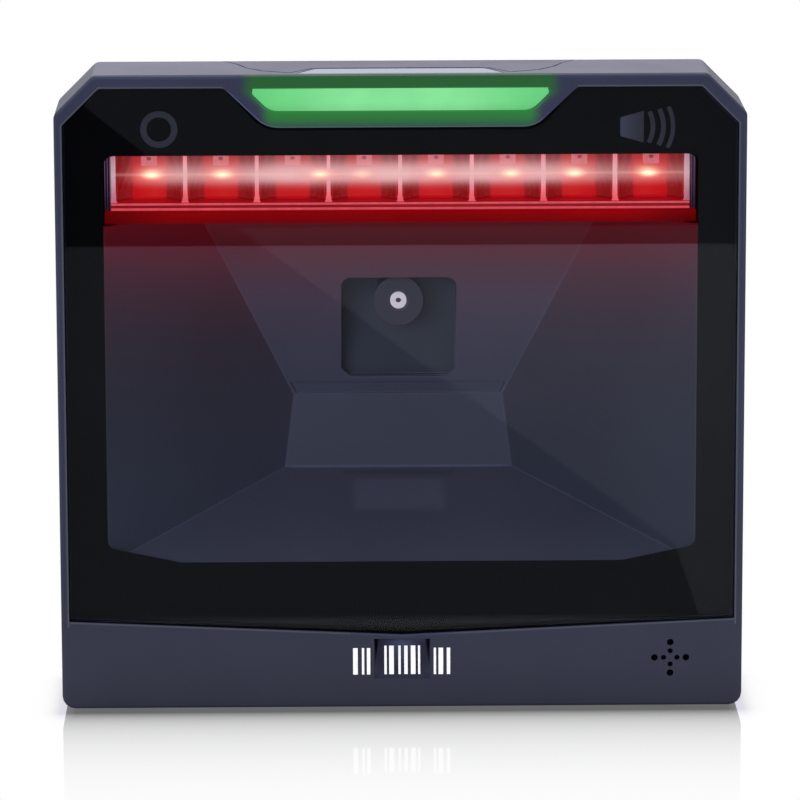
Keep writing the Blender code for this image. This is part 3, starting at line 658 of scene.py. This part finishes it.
def rounded_edges(piece, width, segments, edge_look=None, spare=None):
    """Rounds sharp edges, by less where there is little room, and keeps flat faces flat."""
    mesh = bmesh.new()
    mesh.from_mesh(piece.data)
    weight = mesh.edges.layers.float.new("bevel_weight_edge")
    for edge in mesh.edges:
        if spare and spare(edge):
            continue
        long_enough = len(edge.link_faces) == 2 and edge.calc_length() > SHORTEST_ROUNDED * MM
        if long_enough and edge.calc_face_angle(0.0) > math.radians(LEAST_BEND):
            edge[weight] = min(1.0, ROOM_SHARE * clear_width(edge) / (width * MM))
    mesh.to_mesh(piece.data)
    mesh.free()
    rounding = piece.modifiers.new("Rounding", "BEVEL")
    rounding.width = width * MM
    rounding.segments = segments
    rounding.limit_method = "WEIGHT"
    rounding.use_clamp_overlap = False
    rounding.miter_outer = "MITER_ARC"
    if edge_look:
        piece.data.materials.append(edge_look.material)
        rounding.material = len(piece.data.materials) - 1
    normals = piece.modifiers.new("Flat faces", "WEIGHTED_NORMAL")
    normals.keep_sharp = True


SPARED = {"front_bezel": in_scoop, "rear_housing": on_label}


def finished(node, look, width, edge_look):
    """A welded, smooth-shaded and edge-rounded surface over a CAD node."""
    mesh = bmesh.new()
    mesh.from_mesh(NODES[node].data)
    weld, flat = 0.001 * MM, math.radians(0.6)
    bmesh.ops.remove_doubles(mesh, verts=mesh.verts, dist=weld)
    bmesh.ops.dissolve_limit(mesh, angle_limit=flat, verts=mesh.verts, edges=mesh.edges)
    made = new_piece(f"{node}_finished", mesh, look)
    if width:
        rounded_edges(made, width, 3 if width > 0.2 else 2, edge_look, SPARED.get(node))
    stand_for(made, node)


def lofted(rings):
    """A closed mesh through rings of points, with a cap at each end."""
    mesh = bmesh.new()
    rows = [[mesh.verts.new(point) for point in ring] for ring in rings]
    count = len(rows[0])
    for low, high in zip(rows, rows[1:]):
        for i in range(count):
            j = (i + 1) % count
            mesh.faces.new((low[i], low[j], high[j], high[i]))
    mesh.faces.new(rows[0])
    mesh.faces.new(rows[-1])
    return mesh


def slab(outline, y, thickness):
    """A closed plate in the X-Z plane whose front is at depth y."""
    return lofted([[(a, depth, b) for a, b in outline] for depth in (y, y + thickness)])


# ---------------------------------------------------------------- the lamp bar

def lamp_bar():
    """The clear bar: a front wall with two lips and a floor, ribs between the cells and reflectors."""
    face = HOLDER_LOW.y
    lip = BAR_LOW.y
    low, high = BAR_LOW.z, BAR_HIGH.z
    foot, wall = low + BAR_FLOOR * MM, face + BAR_WALL * MM
    profile = [(face, low)]
    for start, end in ((0.2, 0.65), (1.4, 1.8)):
        bottom, top = low + start * MM, low + end * MM
        profile += [(face, bottom), (lip, bottom), (lip, top), (face, top)]
    profile += [(face, high), (wall, high), (wall, foot), (BAR_HIGH.y, foot), (BAR_HIGH.y, low)]
    mesh = lofted([[(x, y, z) for y, z in profile] for x in (BAR_LOW.x, BAR_HIGH.x)])
    lips, floor_look = lit_edge("lamp_lips", (0.86, 0.075, 0.1)), red_floor()
    bar = new_piece("lamp_front", mesh, lamp_clear(), lips, floor_look)
    for polygon in bar.data.polygons:
        if polygon.center.z - low < 2.0 * MM:
            polygon.material_index = 1 if polygon.center.y < face - 0.1 * MM else 2
    rounded_edges(bar, 0.12, 2)
    stand_for(bar, "led_lens_bar")
    ribs(wall + 0.05 * MM)
    reflectors(face + CELL_BACK * MM)
    end_caps(face)


def red_floor():
    # The lamps' red light painted on the bar's floor as a glow.
    look = Look("lamp_floor", (0.02, 0.002, 0.003), 0.3)
    streaks = look.noise(9.0, 4.0, 0.6, (0.3, 1, 1))
    look.emit((0.3, 0.004, 0.008), look.span(streaks, 0.3, 0.7, 0.8, 1.1))
    return look


def ribs(front):
    """Walls between the cells, with a flared foot, a drafted body and a rounded front edge."""
    divider = lit_edge("lamp_divider", (0.9, 0.1, 0.13), 1.2)
    end = lit_edge("lamp_end_wall", (0.6, 0.18, 0.26))
    low, high = BAR_LOW.z + (BAR_FLOOR + 0.05) * MM, BAR_HIGH.z
    back = front + (CELL_BACK - BAR_WALL - 0.9) * MM
    nose = 0.4 * MM
    levels = ((low, 0.85), (low + 0.35 * MM, 0.6), (low + 1.0 * MM, 0.47), (high, 0.4))
    turns = [math.radians(turn) for turn in range(180, 361, 30)]
    for i in range(9):
        x = LAMP_X[0] + (i - 0.5) * CELL_PITCH
        rings = []
        for z, thickness in levels:
            half = thickness * MM
            arc = [(x + half * math.cos(t), front + nose * (1 + math.sin(t)), z) for t in turns]
            rings.append(arc + [(x + half, back, z), (x - half, back, z)])
        look = end if i in (0, 8) else divider
        attach(new_piece(f"lamp_rib_{i}", lofted(rings), look), "led_lens_bar")


def flute_depth(across, rise, half, height):
    """How far the fluted trough stands forward, at a place across the cell (-1 to 1) and up it (0 to 1)."""
    flutes, flute_size, rim_size = 14, 0.32 * MM, 3.4 * MM
    foot_size, foot_rise = 1.5 * MM, 0.22
    from_corner = half * (1 - abs(across)) + 0.4 * MM
    turn = math.atan2(height * rise + 1.0 * MM, from_corner)
    flute = abs((turn * flutes / math.pi) % 1 - 0.5) * 2
    rim = max(0.0, abs(across) - 0.5) * 2
    forward = rim_size * rim ** 1.4 * (1 - 0.55 * rise) + flute_size * flute * min(1.0, rim * 3)
    return forward + foot_size * max(0.0, foot_rise - rise) / foot_rise


def reflectors(back):
    """One fluted trough per cell, whose flutes fan out from the lower corners."""
    low, high = BAR_LOW.z + (BAR_FLOOR + 0.15) * MM, BAR_HIGH.z - 0.1 * MM
    half, height = CELL_PITCH / 2 - 0.75 * MM, high - low
    columns, rows = 56, 18
    for index, (shift, power) in enumerate(HOT_SPOTS):
        mesh = bmesh.new()
        grid = []
        for rise in [row / rows for row in range(rows + 1)]:
            line = []
            for across in [2 * column / columns - 1 for column in range(columns + 1)]:
                y = back - flute_depth(across, rise, half, height)
                line.append(mesh.verts.new((LAMP_X[index] + across * half, y, low + height * rise)))
            grid.append(line)
        for lower, upper in zip(grid, grid[1:]):
            for a in range(columns):
                mesh.faces.new((lower[a], lower[a + 1], upper[a + 1], upper[a]))
        made = new_piece(f"lamp_reflector_{index + 1}", mesh, reflector(index, shift, power), smooth=20.0)
        foil = made.modifiers.new("Thickness", "SOLIDIFY")
        foil.thickness = 0.25 * MM
        foil.offset = 0.0
        attach(made, "led_lens_bar")


def end_caps(face):
    """A ribbed strip that closes the gap between the bar's end and the window's edge."""
    look = end_cap_plastic()
    inner, outer = BAR_HIGH.x + 0.1 * MM, HOLDER_HIGH.x - 0.05 * MM
    low, high = BAR_LOW.z + 0.1 * MM, BAR_HIGH.z
    steps, steps_per_rib = 24, 8
    crest, back = 0.16 * MM, face + 6.0 * MM
    for name, side in (("left", -1), ("right", 1)):
        ring = []
        for step in range(steps + 1):
            wave = crest * math.cos(2 * math.pi * step / steps_per_rib)
            ring.append((side * (inner + (outer - inner) * step / steps), face + 0.5 * MM + wave))
        ring += [(side * outer, back), (side * inner, back)]
        mesh = lofted([[(x, y, z) for x, y in ring] for z in (low, high)])
        attach(new_piece(f"lamp_end_cap_{name}", mesh, look), "led_lens_bar")


def lamp_dies():
    """The dark chip in the top of each lamp's face."""
    look = Look("lamp_die", (0.1, 0.01, 0.01), 0.3)
    look.emit(look.mix(look.noise(0.5), (0.28, 0.02, 0.03), (0.4, 0.05, 0.06)))
    wide, tall, rise, thin = 0.55 * MM, 0.45 * MM, 1.75 * MM, 0.05 * MM
    turns = [math.radians(turn) for turn in range(0, 360, 30)]
    for i, (low, high) in enumerate(LAMPS):
        outline = [(LAMP_X[i] + wide * math.cos(t), low.z + rise + tall * math.sin(t)) for t in turns]
        plate = slab(outline, low.y - 0.06 * MM, thin)
        attach(new_piece(f"lamp_die_{i + 1}", plate, look), f"led_{i + 1}")


# ---------------------------------------------------------------- printed marks

def middle_of(node):
    return sum(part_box(node), Vector()) / 2


def ring_mark(look, y, thin):
    """The ring over the left touch pad."""
    pad = middle_of("touch_pad_left")
    outer, inner, sides = 4.3, 2.85, 72
    turns = [2 * math.pi * s / sides for s in range(sides)]
    mesh = bmesh.new()
    rows = []
    for radius, depth in ((outer, y), (outer, y + thin), (inner, y + thin), (inner, y)):
        ring = [(pad.x + radius * MM * math.cos(t), depth, pad.z + radius * MM * math.sin(t)) for t in turns]
        rows.append([mesh.verts.new(point) for point in ring])
    for a, b in zip(rows, rows[1:] + rows[:1]):
        for s in range(sides):
            mesh.faces.new((a[s], a[(s + 1) % sides], b[(s + 1) % sides], b[s]))
    attach(new_piece("ring_mark", mesh, look), "window_mask")


def speaker_mark(look, y, thin):
    """The loudspeaker over the right touch pad: a cone and three arcs of sound."""
    pad = middle_of("touch_pad_right")
    left, middle = pad.x - 5.7 * MM, pad.z + 0.15 * MM

    def mark(name, points):
        shape = [(left + a * MM, middle + b * MM) for a, b in points]
        attach(new_piece(name, slab(shape, y, thin), look), "window_mask")

    mark("speaker_mark_cone", [(0.0, -2.2), (5.3, -3.7), (5.3, 3.7), (0.0, 2.2), (-0.12, 1.9), (-0.12, -1.9)])
    turns = [math.radians(angle) for angle in range(-29, 30, 4)]
    for i, (start, reach, width) in enumerate(((6.9, 4.1, 1.05), (9.3, 4.75, 1.1), (11.6, 5.3, 0.95))):
        radius = 2 * reach
        centre = start + width - radius
        outer = [(centre + radius * math.cos(t), radius * math.sin(t)) for t in turns]
        inner = [(centre + (radius - width) * math.cos(t), (radius - width) * math.sin(t)) for t in turns]
        mark(f"speaker_mark_arc_{i + 1}", outer + inner[::-1])


def window_marks():
    """The marks printed behind the glass, over their touch pads."""
    look = mark_print()
    y, thin = MASK_FRONT - 0.1 * MM, 0.07 * MM
    ring_mark(look, y, thin)
    speaker_mark(look, y, thin)


def pictogram():
    """A plain barcode sign printed on the chin, laid on the finger recess where it crosses it."""
    look = white_print()
    bezel = bmesh.new()
    bezel.from_mesh(NODES["front_bezel"].data)
    surface = BVHTree.FromBMesh(bezel)
    low, high, steps = 9.0 * MM, 15.4 * MM, 12
    proud = Vector((0, 0.012 * MM, 0))
    bars = ((-11.0, 1.1), (-9.2, 0.55), (-7.9, 0.8), (-3.9, 0.55), (-2.5, 1.1), (-0.6, 0.55), (0.9, 0.8),
            (2.6, 1.1), (4.0, 0.5), (7.7, 0.55), (9.1, 1.1), (10.9, 0.8))
    for i, (x, width) in enumerate(bars):
        rings = []
        for step in range(steps + 1):
            z = low + (high - low) * step / steps
            ring = []
            for side in (-0.5, 0.5):
                edge = (x + side * width) * MM
                hit = surface.ray_cast(Vector((edge, FRONT - 0.01, z)), Vector((0, 1, 0)))[0]
                ring.append(Vector((edge, hit.y, z)))
            rings.append([ring[0] - proud, ring[1] - proud, ring[1] + proud, ring[0] + proud])
        attach(new_piece(f"pictogram_bar_{i + 1}", lofted(rings), look), "front_bezel")
    bezel.free()


# ---------------------------------------------------------------- every node

def node_looks():
    """The look, edge rounding in millimetres and edge look of each slot, and of the nodes that differ."""
    # The edge looks are lighter copies of their plastics: painted highlights on the rounded edges.
    shell, shell_edge_highlight = moulded("shell_plastic", SHELL), edge_wear_and_highlight("shell_edge_highlight", SHELL)
    cavity, cavity_edge_highlight = hopper_plastic("hopper_plastic", CAVITY), edge_wear_and_highlight("cavity_edge_highlight", toned(CAVITY, 0.9))
    cavity_lip_highlight = hopper_plastic("hopper_edge_highlight", toned(CAVITY, 1.25))
    white = Look("ring_white", (0.5, 0.48, 0.5), 0.35)
    # Painted light: the white ring glows, so it shows bright with no lamp on it.
    white.emit(white.mix(white.noise(1.5), (0.5, 0.45, 0.49), (0.56, 0.51, 0.55)))
    lamp = Look("lamp_package", (0.2, 0.05, 0.06), 0.3)
    lamp.emit(lamp.mix(lamp.noise(0.9, 3.0), (0.62, 0.1, 0.12), (0.85, 0.24, 0.26)))
    label = Look("label_film", roughness=0.45)
    label.set("Base Color", label.mix(label.noise(2.0, 4.0), (0.46, 0.47, 0.49), (0.55, 0.56, 0.58)))
    label.bump(label.noise(1.0), 0.003)
    slots = {
        "housing_plastic": (shell, 0.3, shell_edge_highlight),
        "key_plastic": (moulded("key_plastic", SHELL), 0.15, shell_edge_highlight),
        "window_glass": (window_glass(), 0.5, black_print("glass_edge")),
        "mask_print": (black_print("mask_print"), 0.0, None),
        "gasket_foam": (rubber("gasket_foam", BLACK), 0.0, None),
        "hopper_plastic": (cavity, 0.25, cavity_lip_highlight),
        "black_plastic": (moulded("black_plastic", BLACK, 0.5), 0.15, None),
        "circuit_board": (circuit(), 0.1, None),
        "chip_black": (epoxy(), 0.12, None),
        "barrel_metal": (moulded("barrel_black", (0.085, 0.085, 0.115), 0.35, 0.15, 0.003), 0.2, cavity_edge_highlight),
        "lens_glass": (coated_lens(), 0.0, None),
        "ring_white": (white, 0.1, None),
        "copper_foil": (metal("copper_foil", (0.6, 0.36, 0.18), 0.3), 0.0, None),
        "steel": (metal("plated_steel", (0.55, 0.56, 0.58), 0.32), 0.12, None),
        "speaker_paper": (rubber("speaker_paper", (0.03, 0.03, 0.03)), 0.0, None),
        "green_lens": (green_lens(), 0.15, None),
        "pale_lens": (pale_lens(), 0.12, None),
        "plunger_plastic": (moulded("plunger_plastic", (0.5, 0.05, 0.04)), 0.1, None),
        "label_film": (label, 0.05, None),
        "cable_rubber": (rubber("cable_sleeve", (0.02, 0.02, 0.02)), 0.0, None),
        "lamp_red": (lamp, 0.15, None),
        "lamp_white": (moulded("lamp_white", (0.7, 0.7, 0.68)), 0.12, None),
        "foot_rubber": (rubber("foot_rubber", (0.02, 0.02, 0.02)), 0.25, None),
    }
    shade = moulded("shroud_plastic", toned(CAVITY, 0.62), 0.4)
    bezel = bezel_plastic("bezel_plastic", SHELL, 1.0)
    special = {
        # The bezel's edge look is its plastic 2.4 times lighter: a painted highlight on its rounded edges.
        "front_bezel": (bezel, 0.35, bezel_plastic("bezel_edge_highlight", SHELL, 2.4)),
        "led_bar_holder": (red_holder(), 0.2, None),
        "camera_shroud": (shade, 0.2, cavity_edge_highlight),
        "lens_holder": (shade, 0.2, cavity_edge_highlight),
    }
    return slots, special


def dress_nodes():
    slots, special = node_looks()
    for node in sorted(NODES):
        if node == "led_lens_bar":
            continue
        look, width, edge_look = special[node] if node in special else slots[SLOT_OF[node]]
        finished(node, look, width, edge_look)


# ---------------------------------------------------------------- studio

def camera():
    lens = bpy.data.cameras.new("camera")
    lens.lens = CAMERA_LENS
    lens.sensor_width = 36.0
    lens.clip_start = 0.01
    made = bpy.data.objects.new("camera", lens)
    stand = Matrix.Translation(CAMERA_AT)
    for degrees, axis in ((CAMERA_HEADING, "Z"), (CAMERA_TILT, "X"), (CAMERA_ROLL, "Y"), (90, "X")):
        stand = stand @ Matrix.Rotation(math.radians(degrees), 4, axis)
    made.matrix_world = stand
    bpy.context.scene.collection.objects.link(made)
    bpy.context.scene.camera = made


def softbox(name, at, size, power, colour=WHITE):
    """A soft lamp that is aimed at the object's middle and is not mirrored in it."""
    target = Vector((0, 0, 0.08))
    lamp = bpy.data.lights.new(name, "AREA")
    lamp.shape = "RECTANGLE"
    lamp.size, lamp.size_y = size
    lamp.energy = power
    lamp.color = colour
    made = bpy.data.objects.new(name, lamp)
    made.location = at
    made.rotation_euler = (target - Vector(at)).to_track_quat("-Z", "Y").to_euler()
    made.visible_glossy = False
    bpy.context.scene.collection.objects.link(made)


def floor():
    """White acrylic, which mirrors the object close by and is plain white further off, with a painted contact
    shadow round the object.
    """
    near, far, side = FRONT - 0.615, 4.0, 4.0
    mesh = bmesh.new()
    mesh.faces.new([mesh.verts.new(corner) for corner in (
        (-side, near, 0), (side, near, 0), (side, far, 0), (-side, far, 0))])
    look = Look("studio_floor")
    half = cad_box[1]
    narrowing = {0: look.axis("Y"), 1: -12 * MM, 2: half[1], 3: half[0], 4: half[0] - 17 * MM}
    taper = look.node("ShaderNodeMapRange", narrowing).outputs[0]
    beside = look.least_zero(look.less(look.size(look.axis("X")), taper))
    ahead = look.least_zero(look.less(look.size(look.axis("Y")), half[1]))
    mirror = look.times(look.fading(ahead, 26 * MM), look.fading(beside, 1.5 * MM), 0.53)
    distance = look.add(ahead, look.times(beside, 3.0))
    # Painted shadow: the white darkens close round the object's foot.
    painted_contact_shadow = look.less(1.0, look.times(look.fading(distance, 4.2 * MM), 0.72))
    ray = look.node("ShaderNodeLightPath")
    level = look.less(1.0, look.times(ray.outputs["Is Diffuse Ray"], 0.85))
    white = look.shader("ShaderNodeEmission", {"Strength": look.times(painted_contact_shadow, level)})
    gloss = look.shader("ShaderNodeBsdfGlossy", {"Roughness": 0.05})
    look.surface_mix(mirror, white, gloss)
    new_piece("studio_floor", mesh, look)


def card(name, outline, brightness, height, near=1.0):
    """A flat card in front of the object that only reflections see, with its corners in millimetres.

    near is its brightness close to the object, as a share of that further off.
    """
    mesh = bmesh.new()
    mesh.faces.new([mesh.verts.new((x * MM, FRONT + y * MM, height)) for x, y in outline])
    look = Look(name)
    level = look.span(look.axis("Y"), FRONT - 430 * MM, FRONT - 120 * MM, brightness, brightness * near)
    look.surface(look.shader("ShaderNodeEmission", {"Color": (0.92, 0.94, 1.0), "Strength": level}))
    made = new_piece(name, mesh, look)
    made.visible_camera = False
    made.visible_diffuse = False
    made.visible_shadow = False


def blend(tree, source, low, high, at_low, at_high):
    made = tree.nodes.new("ShaderNodeMapRange")
    made.interpolation_type = "SMOOTHSTEP"
    for socket, value in ((1, low), (2, high), (3, at_low), (4, at_high)):
        made.inputs[socket].default_value = value
    tree.links.new(source, made.inputs[0])
    return made.outputs[0]


def world():
    """A white room for the camera; a bright back and a dim front for everything that mirrors it."""
    made = bpy.data.worlds.new("studio")
    bpy.context.scene.world = made
    made.use_nodes = True
    tree = made.node_tree
    room = tree.nodes["Background"]
    room.inputs[0].default_value = (1.0, 0.98, 1.1, 1)
    plain = tree.nodes.new("ShaderNodeBackground")
    plain.inputs[0].default_value = (1, 1, 1, 1)
    where = tree.nodes.new("ShaderNodeSeparateXYZ")
    tree.links.new(tree.nodes.new("ShaderNodeTexCoord").outputs["Generated"], where.inputs[0])
    product = tree.nodes.new("ShaderNodeMath")
    product.operation = "MULTIPLY"
    tree.links.new(blend(tree, where.outputs["Y"], -0.15, 0.85, 0.17, 1.4), product.inputs[0])
    tree.links.new(blend(tree, where.outputs["Z"], -0.1, 0.26, 0.0, 1.0), product.inputs[1])
    tree.links.new(product.outputs[0], room.inputs[1])
    mix = tree.nodes.new("ShaderNodeMixShader")
    tree.links.new(tree.nodes.new("ShaderNodeLightPath").outputs["Is Camera Ray"], mix.inputs[0])
    tree.links.new(room.outputs[0], mix.inputs[1])
    tree.links.new(plain.outputs[0], mix.inputs[2])
    tree.links.new(mix.outputs[0], tree.nodes["World Output"].inputs[0])


def studio():
    camera()
    world()
    floor()
    side, near, far, end, height = 400, -85, -615, -1100, 0.5 * MM
    seam = ((76, near), (76, -96), (75, -164), (21, -372), (-40, far))
    card("dim_card", ((-side, near), *seam, (-side, far)), 0.42, height, 0.8)
    card("bright_card", ((side, near), (side, far), *seam[::-1]), 1.0, height, 0.76)
    gap = ((-86, -814), (126, -814), (115, -655), (-49, -655))
    card("far_card", ((-40, far - 1), (side, far - 1), (side, end), (-153, end), *gap), 0.3, 0.0)
    softbox("top_light", (0.0, 0.1, 0.95), (1.1, 0.9), 4.0)
    softbox("front_light", (-0.35, -1.35, 0.42), (0.6, 0.4), 8.0, (0.94, 0.97, 1.0))
    bpy.context.scene.view_settings.view_transform = "Standard"


dress_nodes()
lamp_bar()
lamp_dies()
window_marks()
pictogram()
studio()
